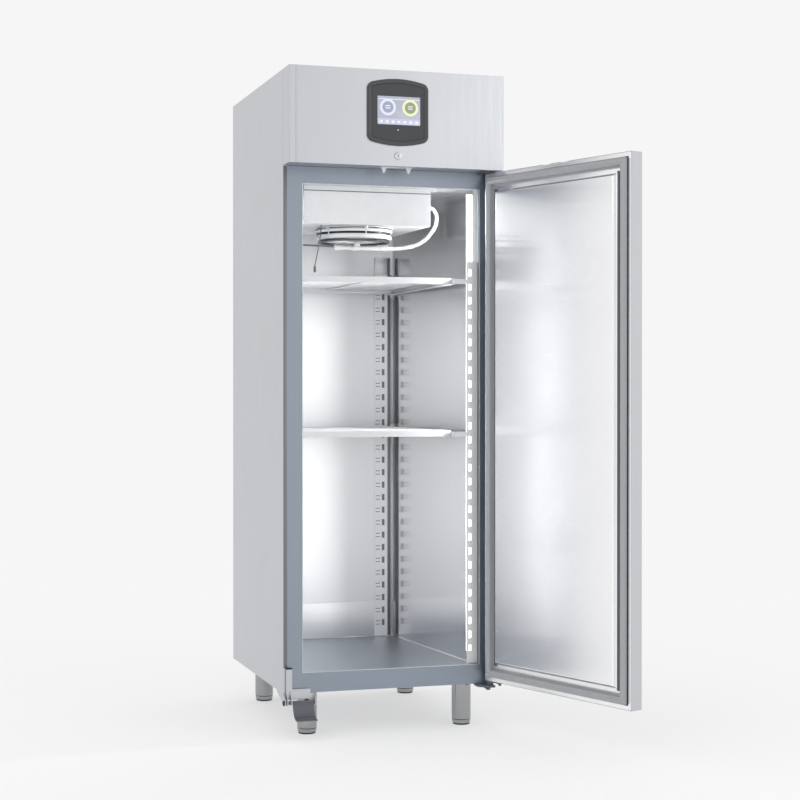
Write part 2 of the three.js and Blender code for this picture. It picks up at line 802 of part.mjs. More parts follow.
// Pair of pointed guides under the panel that centre the closing door.
function catchBracket() {
  const base = PANEL.bottom - GAP;
  const bar = block(298, 402, -68, -50, base - 2.2, base);
  const prongs = CATCH.spots.map((x) => {
    const vee = shapeOf([
      [x - 9, base - 1],
      [x - 2, CATCH.tip],
      [x + 2, CATCH.tip],
      [x + 9, base - 1],
    ]);
    return facing(vee, CATCH.y - 3, CATCH.y + 3);
  });
  return cut(join(bar, ...prongs), camSlot(base - 3, base + 5));
}

// ---------- assembly ----------
const finish = (color, roughness, metalness) =>
  new THREE.MeshStandardMaterial({ color, roughness, metalness });
const steel = finish(0xc4c6c8, 0.35, 1);
const frameSteel = finish(0x8d95a0, 0.45, 1);
const innerSteel = finish(0xd8dade, 0.3, 1);
const polished = finish(0xd0d0d0, 0.12, 1);
const white = finish(0xeeeeef, 0.4, 0);
const blackPlastic = finish(0x151618, 0.4, 0);
const rubber = finish(0x5a5d62, 0.7, 0);
const foamFinish = finish(0xe6d9a8, 0.9, 0);
const screen = finish(0x20242a, 0.1, 0);
const darkSteel = finish(0x3c3f43, 0.4, 0.8);
const glow = finish(0xffffff, 0.5, 0);

const cabinet = new THREE.Group();
cabinet.position.set(-CENTRE_X, -CENTRE_Y, 0);
const swing = new THREE.Group();
swing.position.set(PIVOT.x, PIVOT.y, 0);
swing.rotation.z = THREE.MathUtils.degToRad(DOOR.open);
const door = new THREE.Group();
door.position.set(-PIVOT.x, -PIVOT.y, 0);
swing.add(door);
cabinet.add(swing);

function place(name, geometry, material, group = cabinet) {
  const mesh = new THREE.Mesh(geometry, material);
  mesh.name = name;
  group.add(mesh);
}

place("side_panel_left", sidePanel(1), steel);
place("side_panel_right", sidePanel(-1), steel);
place("back_panel", backPanel(), steel);
place("base_panel", basePanel(), steel);
place("top_cover", topCover(), steel);
place("front_frame", frontFrame(), frameSteel);
place("liner_left", liner("left"), innerSteel);
place("liner_right", liner("right"), innerSteel);
place("liner_back", liner("back"), innerSteel);
place("liner_ceiling", liner("ceiling"), innerSteel);
place("floor_pan", liner("floor"), innerSteel);
place("insulation", insulation(), foamFinish);
place("air_duct_panel", airDuctPanel(), innerSteel);

place("upright_front_left", wallPost(UPRIGHT.front), innerSteel);
place("upright_front_right", upright(610, 646, 616, UPRIGHT.front, 644.8, 13), innerSteel);
place("upright_rear_left", wallPost(UPRIGHT.back - 37), innerSteel);
place("upright_rear_right", upright(503, 551, 530.5, UPRIGHT.back, 503, 4.6), innerSteel);
place("led_strip", ledStrip(), glow);
for (const [level, top] of Object.entries(SHELF_TOPS)) {
  place(`runner_${level}_left`, runner(top, -1), innerSteel);
  place(`runner_${level}_right`, runner(top, 1), innerSteel);
  place(`shelf_${level}`, shelf(top), white);
}

place("evaporator_rail", unitRail(), innerSteel);
place("evaporator_cover", unitCover(), innerSteel);
place("fan_motor", fanMotor(), blackPlastic);
place("fan_impeller", fanImpeller(), blackPlastic);
place("fan_guard", fanGuard(), white);
place("ring_heater", ringHeater(), polished);
place("steam_bar", steamBar(), white);
place("steam_hose", steamHose(), white);
place("temperature_probe", temperatureProbe(), blackPlastic);
place("condensing_unit", condensingUnit(), blackPlastic);

for (const [side, x] of [["left", LEG_SPOTS.left], ["right", LEG_SPOTS.right]]) {
  place(`leg_front_${side}`, legSleeve(x, LEG_SPOTS.front), polished);
  place(`leg_rear_${side}`, legSleeve(x, LEG_SPOTS.back), polished);
  place(`foot_front_${side}`, levellingFoot(x, LEG_SPOTS.front), rubber);
  place(`foot_rear_${side}`, levellingFoot(x, LEG_SPOTS.back), rubber);
}

place("pedal_bracket", pedalBracket(), steel);
place("pedal_lever", pedalLever(), darkSteel);
place("pusher_plate", pusherPlate(), steel);
place("pusher_buffer", pusherBuffer(), rubber);
place("hinge_bracket_top", hingeBracketTop(), darkSteel);
place("hinge_bracket_bottom", hingeBracketBottom(), darkSteel);

place("door_skin", doorSkin(), steel, door);
place("door_core", doorCore(), foamFinish, door);
place("door_inner_panel", doorInnerPanel(), innerSteel, door);
place("door_gasket", doorGasket(), rubber, door);
place("door_grip", doorGrip(), polished, door);
place("door_stop", doorStop(), darkSteel, door);

place("control_panel", controlPanel(), steel);
place("display_bezel", displayBezel(), blackPlastic);
place("display_unit", displayUnit(), screen);
place("lock_barrel", lockBarrel(), polished);
place("lock_cam", lockCam(), polished);
place("catch_bracket", catchBracket(), white);

export default cabinet;
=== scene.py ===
"""Looks for a steel proofing cabinet: its rounded pieces, wires, hose, seal, display and finishes."""

import json
import math

import bpy
import numpy as np
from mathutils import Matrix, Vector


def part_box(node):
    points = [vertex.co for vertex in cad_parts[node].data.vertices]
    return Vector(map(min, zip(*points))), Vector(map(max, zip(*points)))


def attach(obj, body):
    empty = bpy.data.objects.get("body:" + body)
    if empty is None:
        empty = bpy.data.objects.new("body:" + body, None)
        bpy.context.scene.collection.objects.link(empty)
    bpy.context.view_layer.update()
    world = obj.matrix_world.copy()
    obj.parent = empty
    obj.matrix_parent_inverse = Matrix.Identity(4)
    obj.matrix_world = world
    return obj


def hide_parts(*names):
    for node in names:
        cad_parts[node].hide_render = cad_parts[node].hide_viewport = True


bl_info = {
    "name": "Proofing cabinet",
    "version": (1, 0, 0),
    "blender": (4, 5, 0),
    "location": "View3D > Sidebar > Cabinet",
    "description": "Builds the rounded pieces and the finishes of a proofing cabinet on its loaded frame",
    "category": "Object",
}

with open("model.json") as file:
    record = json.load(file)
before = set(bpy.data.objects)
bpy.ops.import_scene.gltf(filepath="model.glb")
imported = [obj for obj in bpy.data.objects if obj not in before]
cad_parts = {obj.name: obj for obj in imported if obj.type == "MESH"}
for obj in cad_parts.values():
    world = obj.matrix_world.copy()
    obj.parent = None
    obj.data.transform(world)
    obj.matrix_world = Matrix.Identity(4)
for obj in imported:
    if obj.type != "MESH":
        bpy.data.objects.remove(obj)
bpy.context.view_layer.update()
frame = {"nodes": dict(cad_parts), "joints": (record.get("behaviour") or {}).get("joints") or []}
JOINTS = {joint["name"]: joint for joint in frame["joints"]}
NODES = frame["nodes"]

# The body's front left corner at the floor, which sizes below are measured from.
CORNER = np.array(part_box("side_panel_left")[0]) * (1, 1, 0)
PIVOT = np.array(JOINTS["door_hinge"]["pos_m"])
SWING = math.radians(-JOINTS["door_hinge"]["range_deg"][0])


# ---------- colour and material helpers ----------
def linear(hex_text):
    """sRGB hex to linear RGB: below 0.04045 divide by 12.92, above it raise (c + 0.055) / 1.055 to 2.4."""
    c = np.array([int(hex_text[i : i + 2], 16) for i in (1, 3, 5)]) / 255
    return tuple(np.where(c <= 0.04045, c / 12.92, ((c + 0.055) / 1.055) ** 2.4).tolist())


def blank(name):
    """An empty node material and its tree."""
    made = bpy.data.materials.new(name)
    made.use_nodes = True
    made.node_tree.nodes.clear()
    return made, made.node_tree


def add(tree, kind, settings=None, inputs=None):
    """Adds a node, sets its attributes, and fills its inputs with values or links them from sockets."""
    made = tree.nodes.new(kind)
    for key, value in (settings or {}).items():
        setattr(made, key, value)
    for key, value in (inputs or {}).items():
        if isinstance(value, bpy.types.NodeSocket):
            tree.links.new(value, made.inputs[key])
        else:
            made.inputs[key].default_value = value
    return made


def finish_material(tree, made, shader):
    """Links the shader to the material's output and hands the material back."""
    add(tree, "ShaderNodeOutputMaterial", inputs={"Surface": shader.outputs[0]})
    return made


def sheet_steel(name, colour, roughness, grain, depth=0.08, spread=0.08, cloud=0.04, drawn=0.0):
    """Stainless sheet ground with an abrasive belt, so fine scratches run along one way: long along grain,
    short across it. They spread a highlight across the grain. The real scratches are about 0.1 mm apart and
    are drawn 1 to 2 mm apart, so that they show. Large soft clouds are the slight waviness and handling of
    thin sheet. The share named drawn is a glossy layer with an upright grain: a row of small lights beside
    it shows there as one soft upright band."""
    made, tree = blank(name)
    place = add(tree, "ShaderNodeTexCoord")
    across, along = 700.0, 6.0
    scale = [along if axis == grain else across for axis in "XYZ"]
    fine = add(tree, "ShaderNodeMapping", inputs={"Vector": place.outputs["Object"], "Scale": scale})
    scratches = add(tree, "ShaderNodeTexNoise",
                    inputs={"Vector": fine.outputs[0], "Scale": 1.0, "Detail": 3.0, "Roughness": 0.6})
    clouds = add(tree, "ShaderNodeTexNoise",
                 inputs={"Vector": place.outputs["Object"], "Scale": 2.2, "Detail": 3.0, "Roughness": 0.5})
    rough = add(tree, "ShaderNodeMapRange",
                inputs={"Value": scratches.outputs["Fac"], "From Min": 0.3, "From Max": 0.7,
                        "To Min": max(0.03, roughness - spread), "To Max": roughness + spread})
    dark = [c * (1 - cloud) for c in colour[:3]] + [1]
    light = [min(1, c * (1 + cloud)) for c in colour[:3]] + [1]
    tone = add(tree, "ShaderNodeMix", {"data_type": "RGBA"},
               {"Factor": clouds.outputs["Fac"], 6: dark, 7: light})
    bump = add(tree, "ShaderNodeBump",
               inputs={"Height": scratches.outputs["Fac"], "Strength": depth, "Distance": 0.0004})
    shader = add(tree, "ShaderNodeBsdfPrincipled",
                 inputs={"Base Color": tone.outputs[2], "Metallic": 1.0, "Roughness": rough.outputs[0],
                         "Normal": bump.outputs[0]})
    if drawn:
        gloss, stretch = 0.14, 0.8
        upright = add(tree, "ShaderNodeCombineXYZ", inputs={"Z": 1.0})
        lines = add(tree, "ShaderNodeBsdfAnisotropic",
                    inputs={"Color": tone.outputs[2], "Roughness": gloss, "Anisotropy": stretch,
                            "Tangent": upright.outputs[0]})
        shader = add(tree, "ShaderNodeMixShader",
                     inputs={0: drawn, 1: shader.outputs[0], 2: lines.outputs[0]})
    return finish_material(tree, made, shader)


def moulded(name, colour, roughness, ior, texture, depth, coat=0.0):
    """Moulded, dipped or coated skin: a fine even orange peel, about 1 mm across, breaks up its highlights,
    and its tone wanders a little over a few centimetres, as pigment and handling leave it."""
    made, tree = blank(name)
    place = add(tree, "ShaderNodeTexCoord")
    peel = add(tree, "ShaderNodeTexNoise",
               inputs={"Vector": place.outputs["Object"], "Scale": texture, "Detail": 2.0})
    clouds = add(tree, "ShaderNodeTexNoise",
                 inputs={"Vector": place.outputs["Object"], "Scale": 24.0, "Detail": 4.0})
    dark = [c * 0.93 for c in colour[:3]] + [1]
    light = [min(1, c * 1.05) for c in colour[:3]] + [1]
    tone = add(tree, "ShaderNodeMix", {"data_type": "RGBA"},
               {"Factor": clouds.outputs["Fac"], 6: dark, 7: light})
    rough = add(tree, "ShaderNodeMapRange",
                inputs={"Value": clouds.outputs["Fac"], "From Min": 0.3, "From Max": 0.7,
                        "To Min": max(0.03, roughness - 0.05), "To Max": roughness + 0.05})
    bump = add(tree, "ShaderNodeBump",
               inputs={"Height": peel.outputs["Fac"], "Strength": depth, "Distance": 0.0003})
    shader = add(tree, "ShaderNodeBsdfPrincipled",
                 inputs={"Base Color": tone.outputs[2], "Roughness": rough.outputs[0], "IOR": ior,
                         "Coat Weight": coat, "Normal": bump.outputs[0]})
    return finish_material(tree, made, shader)


def glowing(name, colour, strength, roughness=0.3):
    """A lit surface under a smooth plastic or glass skin, evenly bright."""
    made, tree = blank(name)
    place = add(tree, "ShaderNodeTexCoord")
    grain = add(tree, "ShaderNodeTexNoise",
                inputs={"Vector": place.outputs["Object"], "Scale": 400.0, "Detail": 1.0})
    rough = add(tree, "ShaderNodeMapRange",
                inputs={"Value": grain.outputs["Fac"],
                        "To Min": roughness - 0.04, "To Max": roughness + 0.04})
    shader = add(tree, "ShaderNodeBsdfPrincipled",
                 inputs={"Base Color": list(colour[:3]) + [1], "Roughness": rough.outputs[0],
                         "Emission Color": list(colour[:3]) + [1], "Emission Strength": strength})
    return finish_material(tree, made, shader)


# ---------- shape helpers ----------
def from_corner(points):
    """Millimetres from the body's front left corner to metres in the frame: over 1000, plus the corner."""
    return np.asarray(points, float) / 1000 + CORNER


def swung(points):
    """The same for a piece of the door drawn closed, then turned by the opening angle about the pivot."""
    p = from_corner(points) - PIVOT
    c, s = math.cos(SWING), math.sin(SWING)
    turn = np.array([[c, -s, 0], [s, c, 0], [0, 0, 1]])
    return p @ turn.T + PIVOT


def skin(grid, along=False):
    """A grid of points (rings, points in a ring, 3) as vertices and faces: each cell becomes a quad and each
    ring closes on itself. With along set the last ring meets the first, and otherwise one flat face closes
    each end. Faces are turned over if the enclosed volume comes out negative."""
    rings, count = grid.shape[:2]
    index = np.arange(rings * count).reshape(rings, count)
    down = np.roll(index, -1, 0) if along else index[1:]
    here = index if along else index[:-1]
    beside_here = np.roll(here, -1, 1)
    beside_down = np.roll(down, -1, 1)
    quads = np.stack([here, beside_here, beside_down, down], -1).reshape(-1, 4)
    points = grid.reshape(-1, 3)
    middle = points.mean(0)
    a, b, c, d = (points[quads[:, i]] - middle for i in range(4))
    volume = (np.cross(a, b) * c).sum() + (np.cross(a, c) * d).sum()
    faces = quads.tolist()
    if not along:
        faces += [index[0][::-1].tolist(), index[-1].tolist()]
    if volume < 0:
        faces = [face[::-1] for face in faces]
    return points, faces


def assemble(name, parts, material, body="cabinet", place=from_corner, sharp=35.0, hides=()):
    """Joins several skins into one mesh object, with smooth faces and creases where faces meet at over sharp
    degrees, puts it on its body and hides the parts it stands for."""
    points, faces, start = [], [], 0
    for corners, polygons in parts:
        points.append(corners)
        faces += [[i + start for i in polygon] for polygon in polygons]
        start += len(corners)
    mesh = bpy.data.meshes.new(name)
    mesh.from_pydata(place(np.concatenate(points)), [], faces)
    mesh.polygons.foreach_set("use_smooth", np.ones(len(faces), bool))
    mesh.set_sharp_from_angle(angle=math.radians(sharp))
    mesh.update()
    made = bpy.data.objects.new(name, mesh)
    bpy.context.collection.objects.link(made)
    mesh.materials.append(material)
    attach(made, body)
    if hides:
        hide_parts(*hides)


def outline(x0, x1, y0, y1, radius, inset=0.0, steps=6):
    """Points round a rectangle with quarter-circle corners, moved in by inset all round."""
    r = max(radius - inset, 0.01)
    x0, x1, y0, y1 = x0 + inset + r, x1 - inset - r, y0 + inset + r, y1 - inset - r
    turn = np.linspace(0, math.pi / 2, steps)
    quarters = np.concatenate([turn + k * math.pi / 2 for k in range(4)])
    cx = np.repeat([x1, x0, x0, x1], steps)
    cy = np.repeat([y1, y1, y0, y0], steps)
    return np.stack([cx + r * np.cos(quarters), cy + r * np.sin(quarters)], -1)


AXES = {"Y": (0, 2, 1), "Z": (0, 1, 2)}


def slab(rectangle, radius, profile, axis="Z", along=False, steps=6):
    """A rounded rectangle carried along a profile of (inset, height) pairs: each pair gives one ring, moved
    in by the inset and placed at the height along the axis."""
    first, second, up = AXES[axis]
    rings = []
    for inset, height in profile:
        flat = outline(*rectangle, radius, inset, steps)
        ring = np.empty((len(flat), 3))
        ring[:, first], ring[:, second], ring[:, up] = flat[:, 0], flat[:, 1], height
        rings.append(ring)
    return skin(np.array(rings), along=along)


def box(x0, x1, y0, y1, z0, z1, edge=0.6, radius=None, axis="Z"):
    """A rounded rectangle with its rims eased by edge: four rings, moved in by edge at both ends."""
    spans = {"Y": ((x0, x1, z0, z1), y0, y1), "Z": ((x0, x1, y0, y1), z0, z1)}
    rectangle, low, high = spans[axis]
    profile = [(edge, low), (edge * 0.3, low + edge * 0.3), (0, low + edge),
               (0, high - edge), (edge * 0.3, high - edge * 0.3), (edge, high)]
    return slab(rectangle, edge * 1.5 if radius is None else radius, profile, axis, steps=3)


def revolved(profile, x, y, sides=64, along=False):
    """A profile of (radius, height) pairs turned about an upright axis through (x, y)."""
    r, z = np.array(profile, float).T
    turn = np.linspace(0, 2 * math.pi, sides, endpoint=False)
    grid = np.stack([x + np.outer(r, np.cos(turn)), y + np.outer(r, np.sin(turn)),
                     np.repeat(z[:, None], sides, 1)], -1)
    return skin(grid, along=along)


def revolved_y(profile, x, z, sides, along=False):
    """A profile of (radius, depth) pairs turned about the level front-to-back axis through (x, z)."""
    points, faces = revolved(profile, 0, 0, sides, along)
    return np.stack([x + points[:, 0], points[:, 2], z - points[:, 1]], -1), faces


def revolved_x(profile, y, z, sides=32):
    """A profile of (radius, x) pairs turned about the level left-to-right axis through (y, z)."""
    points, faces = revolved(profile, 0, 0, sides)
    return np.stack([points[:, 2], y + points[:, 0], z + points[:, 1]], -1), faces


def curve(points, count):
    """A smooth path through the points: a Catmull-Rom spline, where each stretch is a cubic of its four
    nearest points."""
    p = np.array(points, float)
    p = np.concatenate([[2 * p[0] - p[1]], p, [2 * p[-1] - p[-2]]])
    t = np.linspace(0, len(p) - 3 - 1e-9, count)
    i = t.astype(int)
    f = (t - i)[:, None]
    a, b, c, d = p[i], p[i + 1], p[i + 2], p[i + 3]
    return 0.5 * (2 * b + (c - a) * f + (2 * a - 5 * b + 4 * c - d) * f**2 + (3 * b - a - 3 * c + d) * f**3)


def tube(path, radius, sides=12, lean=(0, 1, 0), closed=False):
    """A circle carried along a path: at each point it stands across the path's direction, found by
    differences. The radius may change along the path."""
    path = np.asarray(path, float)
    if closed:
        heading = np.roll(path, -1, 0) - np.roll(path, 1, 0)
    else:
        heading = np.gradient(path, axis=0)
    heading /= np.linalg.norm(heading, axis=1)[:, None]
    side = np.cross(heading, lean)
    side /= np.linalg.norm(side, axis=1)[:, None]
    up = np.cross(side, heading)
    turn = np.linspace(0, 2 * math.pi, sides, endpoint=False)
    r = np.broadcast_to(radius, len(path))[:, None, None]
    c, s = np.cos(turn)[None, :, None], np.sin(turn)[None, :, None]
    grid = path[:, None] + r * (c * side[:, None] + s * up[:, None])
    return skin(grid, along=closed)


def wire(a, b, radius, sides=10):
    """A straight round wire from a to b: a circle carried along the line, drawn in a little at each end."""
    a, b = np.array(a, float), np.array(b, float)
    length = np.linalg.norm(b - a)
    nose = 0.35 * radius
    t = np.array([0, nose, nose + 1e-3, length - nose - 1e-3, length - nose, length]) / length
    path = a + t[:, None] * (b - a)
    radii = radius * np.array([0.6, 0.98, 1, 1, 0.98, 0.6])
    lean = (0, 0, 1) if abs((b - a)[2]) < 0.9 * length else (1, 0, 0)
    return tube(path, radii, sides, lean)


def hoop(x, y, z, radius, thick):
    """A round wire ring lying level: a circle carried round a circle."""
    sides, steps = 12, 72
    turn = np.linspace(0, 2 * math.pi, steps, endpoint=False)
    path = np.stack([x + radius * np.cos(turn), y + radius * np.sin(turn), np.full(steps, z)], -1)
    return tube(path, thick, sides, (0, 0, 1), closed=True)


def extruded_x(section, low, high):
    """A closed flat outline of (y, z) pairs carried straight from x = low to x = high."""
    grid = np.empty((2, len(section), 3))
    grid[:, :, 1:] = section
    grid[0, :, 0], grid[1, :, 0] = low, high
    return skin(grid)


# ---------- settings ----------
class CabinetSizes(bpy.types.PropertyGroup):
    """Sizes of the fine pieces, in metres."""

    shelf_wire: bpy.props.FloatProperty(name="Shelf wire", description="Diameter of the shelf's cross wires",
                                        default=0.0052, min=0.002, max=0.008, unit="LENGTH")
    shelf_pitch: bpy.props.FloatProperty(name="Shelf pitch", description="Distance between cross wires",
                                         default=0.029, min=0.01, max=0.05, unit="LENGTH")
    hose_rib: bpy.props.FloatProperty(name="Hose rib", description="Distance between the hose's ribs",
                                      default=0.0055, min=0.003, max=0.01, unit="LENGTH")
    tray_slope: bpy.props.FloatProperty(name="Door tray slope",
                                        description="Width of the door tray's sloping edge",
                                        default=0.009, min=0.002, max=0.02, unit="LENGTH")
    seal_bead: bpy.props.FloatProperty(name="Seal bead",
                                       description="Height of the bead along the door seal",
                                       default=0.0035, min=0.001, max=0.006, unit="LENGTH")


class CabinetColours(bpy.types.PropertyGroup):
    """Colours of the finishes, linear RGB."""

    steel: bpy.props.FloatVectorProperty(name="Outer steel", description="Casing, door and control panel",
                                         subtype="COLOR", default=linear("#c3c5c9"))
    # the frame's blue-grey is stainless darkened to paint the shade it stands in
    frame: bpy.props.FloatVectorProperty(name="Frame steel, painted shade", description="Frame round the door opening",
                                         subtype="COLOR", default=linear("#9199a4"))
    chamber: bpy.props.FloatVectorProperty(name="Chamber steel", description="Walls of the chamber",
                                           subtype="COLOR", default=linear("#e5e6e7"))
    seal: bpy.props.FloatVectorProperty(name="Seal", description="Rubber seal round the door",
                                        subtype="COLOR", default=linear("#a4a6aa"))
    coating: bpy.props.FloatVectorProperty(name="White coating",
                                           description="Coating of shelves and fan guard",
                                           subtype="COLOR", default=linear("#dcdee0"))
    pedal: bpy.props.FloatVectorProperty(name="Pedal", description="Coated steel of the pedal",
                                         subtype="COLOR", default=linear("#585c61"))


FINISH = {}


# ---------- operators ----------
class CABINET_OT_finishes(bpy.types.Operator):
    """Make the finishes and put them on the parts of the frame."""

    bl_idname = "cabinet.finishes"
    bl_label = "Finishes"

    def execute(self, context):
        c = context.scene.cabinet_colours
        f = FINISH
        # AISI 304 sheet, belt ground: a broad soft highlight, grey between light and dark surroundings
        f["outer"] = sheet_steel("brushed stainless casing", c.steel, 0.36, "Z")
        # the frame's darker blue-grey is painted shade on the same stainless
        f["frame"] = sheet_steel("brushed stainless frame, darkened as painted shade", c.frame, 0.42, "Z", depth=0.05)
        # bright annealed sheet, rolled smooth: reflects the lamp as a soft glow
        f["chamber"] = sheet_steel("bright annealed stainless lining", c.chamber, 0.46, "Z",
                                   0.015, 0.03, 0.02)
        f["duct"] = sheet_steel("bright rolled stainless air duct", linear("#dadadc"), 0.17, "Z",
                                0.01, 0.03, 0.02)
        # the floor pan's darker blue-grey is painted shade on the stainless
        f["floor"] = sheet_steel("rolled stainless floor pan, darkened as painted shade", linear("#a9b0ba"), 0.38, "X", depth=0.04)
        # the brightest sheet: its second layer draws the side lamp's diodes out into an upright band
        f["tray"] = sheet_steel("bright annealed stainless door tray", linear("#fdfdff"), 0.22, "Z",
                                0.2, 0.04, 0.01, drawn=0.4)
        # tube and fittings polished on a wheel: near-mirror, with faint upright scratches
        f["polished"] = sheet_steel("polished stainless", linear("#d9dadb"), 0.12, "Z",
                                    depth=0.02, spread=0.03)
        f["leg"] = sheet_steel("polished stainless leg", linear("#a4a5a7"), 0.16, "Z", 0.05, 0.04, 0.05)
        f["grip"] = sheet_steel("satin stainless trim", linear("#e2e3e5"), 0.25, "Z", depth=0.03)
        # sheet with a white coat: bright and soft, no scratches
        f["lining"] = moulded("white-coated steel cover", linear("#e6e8ea"), 0.4, 1.5, 900.0, 0.04)
        # casing sheet darkened to paint the shade in recesses and between folds; the finned heater ring and
        # the heater rod wear the same dark steel
        f["shade"] = sheet_steel("dark stainless: painted recess shade and heater tubes", linear("#7c7e83"), 0.45, "Z", depth=0.02)
        # steel dipped in white plastic powder: thick, soft, slightly uneven skin
        f["coating"] = moulded("white plastic-dipped steel wire", c.coating, 0.34, 1.5, 500.0, 0.08)
        # the pedal's dark powder coat; the same colour paints the shade in the door's slots beside its tray
        f["dark"] = moulded("powder-coated steel, also door slot shade", c.pedal, 0.42, 1.5, 1400.0, 0.18)
        # moulded parts: polyamide hose, nylon fittings, ABS surround with a light spark texture
        f["hose"] = moulded("white corrugated polyamide hose", linear("#d2d3d4"), 0.4, 1.53, 700.0, 0.03)
        f["nylon"] = moulded("white nylon", linear("#d6d7d7"), 0.38, 1.53, 700.0, 0.04)
        f["abs"] = moulded("black ABS", linear("#3b3c3f"), 0.36, 1.54, 1600.0, 0.1)
        f["black"] = moulded("black glass-filled polyamide", linear("#1d1e21"), 0.45, 1.53, 1200.0, 0.12)
        f["glass"] = moulded("smoked touch glass", linear("#3c3e41"), 0.1, 1.52, 60.0, 0.0)
        # extruded seal: matt, faintly dusty
        f["seal"] = moulded("grey PVC door seal", c.seal, 0.6, 1.53, 800.0, 0.06)
        # black rubber of the pusher buffer and foot soles; the same colour paints the shade in the door
        # seal's groove
        f["rubber"] = moulded("black rubber, also seal groove shade", linear("#1a1a1b"), 0.7, 1.52, 700.0, 0.15)
        f["foam"] = moulded("poured polyurethane foam", linear("#e7d9a5"), 0.9, 1.45, 350.0, 0.6)
        f["enamel"] = moulded("black stove enamel", linear("#161718"), 0.28, 1.5, 300.0, 0.1, coat=0.4)
        f["fins"] = sheet_steel("aluminium fin stock", linear("#dfe1e3"), 0.34, "X", depth=0.05)
        f["copper"] = sheet_steel("drawn copper tube", linear("#b87352"), 0.28, "Z", depth=0.04)
        f["light"] = glowing("lit opal lamp cover", linear("#f7f9ff"), 2.2)
        chosen = {
            "outer": ("side_panel_left", "side_panel_right", "back_panel", "base_panel", "top_cover",
                      "control_panel", "door_skin", "door_core", "pusher_plate", "pedal_bracket"),
            "frame": ("front_frame",),
            "chamber": ("liner_left", "liner_right", "liner_back", "liner_ceiling", "upright_front_left",
                        "upright_front_right", "upright_rear_left", "upright_rear_right"),
            "coating": ("runner_upper_left", "runner_upper_right",
                        "runner_lower_left", "runner_lower_right"),
            "duct": ("air_duct_panel",),
            "floor": ("floor_pan",),
            "lining": ("evaporator_cover", "evaporator_rail"),
            "grip": ("door_grip",),
            "foam": ("insulation",),
            "dark": ("hinge_bracket_top", "hinge_bracket_bottom", "door_stop"),
            "black": ("fan_motor",),
            "rubber": ("pusher_buffer",),
            "nylon": ("catch_bracket",),
            "polished": ("lock_cam",),
            "light": ("led_strip",),
        }
        for key, names in chosen.items():
            for name in names:
                data = NODES[name].data
                data.materials.clear()
                data.materials.append(f[key])
        return {"FINISHED"}


class CABINET_OT_door(bpy.types.Operator):
    """Make the door's pressed inner tray and its seal."""

    bl_idname = "cabinet.door"
    bl_label = "Door tray and seal"

    def execute(self, context):
        s = context.scene.cabinet_sizes
        sheet = (16.1, 683.9, 153.1, 1774.4)
        slope = s.tray_slope * 1000
        rim, bottom, flange, back = 57, -14.2, -15.7, -16.9
        top = -2.4
        # the slope rises from the rim as 3 t squared minus 2 t cubed, level at both ends
        rise = [(rim + slope * t, bottom + (top - bottom) * (3 * t * t - 2 * t**3))
                for t in np.linspace(0.1, 1, 8)]
        edge = [(0, back), (0, flange), (rim - 2, flange), (rim, bottom)]
        tray = slab(sheet, 4, edge + rise + [(rim + 2 + slope, top)], "Y")
        assemble("door_tray", [tray], FINISH["tray"], "door", swung, 40, ("door_inner_panel",))

        # the seal's front falls away from its middle and carries a bead, a bell curve 0.13 of it wide
        bead = s.seal_bead * 1000
        u = np.linspace(0, 1, 17)
        front = -3.2 - 1.2 * np.abs(2 * u - 1) + bead * np.exp(-(((u - 0.5) / 0.13) ** 2))
        face = [(17 + 20 * across, min(height, -0.1)) for across, height in zip(u, front)]
        outer_side = [(17.6, -15.3), (16.9, -13), (18.2, -11), (16.9, -8.5), (18, -6.5)]
        inner_side = [(36, -6.5), (37.1, -9), (35.8, -12), (36.4, -15.3)]
        seal = slab((14.5, 685.5, 151.5, 1776), 20, outer_side + face + inner_side, "Y", along=True)
        assemble("door_seal", [seal], FINISH["seal"], "door", swung, 60, ("door_gasket",))

        # two dark strips beside the tray's long sides: painted shade in the slots between seal and tray
        slot_shades = [box(x, x + 8.5, -15.4, -11.6, 204, 1723, 1.2) for x in (63.5, 628)]
        assemble("door_slot_shades", slot_shades, FINISH["dark"], "door", swung, 50)
        # a dark channel round the tray: painted shade in the groove outside the seal
        groove = [(12.4, -15.5), (12.4, -14.2), (13.2, -13.8), (15.6, -13.8), (16.4, -14.2), (16.4, -15.5)]
        channel = slab(sheet, 14, groove, "Y", along=True)
        assemble("door_seal_groove_shade", [channel], FINISH["rubber"], "door", swung, 50)
        return {"FINISHED"}


class CABINET_OT_shelves(bpy.types.Operator):
    """Make the two white wire shelves."""

    bl_idname = "cabinet.shelves"
    bl_label = "Wire shelves"

    def execute(self, context):
        s = context.scene.cabinet_sizes
        r = s.shelf_wire * 500
        for level in ("upper", "lower"):
            low, high = (np.array(corner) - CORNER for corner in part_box("shelf_" + level))
            (x0, y0, z0), (x1, y1, z1) = low * 1000, high * 1000
            bar, heavy, light = 8, 4.0, 2.6
            count = int((y1 - y0 - 2 * bar) / (s.shelf_pitch * 1000))
            rows = np.linspace(y0 + 14, y1 - 14, count)
            parts = [wire((x0 + 3, y, z1 - r), (x1 - 3, y, z1 - r), r) for y in rows]
            under = z1 - 2 * r
            for x in (x0 + heavy, x1 - heavy):
                parts.append(wire((x, y0 + heavy, under - heavy), (x, y1 - heavy, under - heavy), heavy, 14))
            middle = (x0 + x1) / 2
            parts.append(wire((middle, y0 + 3, under - light), (middle, y1 - 3, under - light), light))
            parts += [box(x0, x1, y, y + bar, z0, z1, 2.4, 2.6) for y in (y0, y1 - bar)]
            assemble("wire_shelf_" + level, parts, body="shelf_" + level, material=FINISH["coating"],
                     hides=("shelf_" + level,))
        return {"FINISHED"}


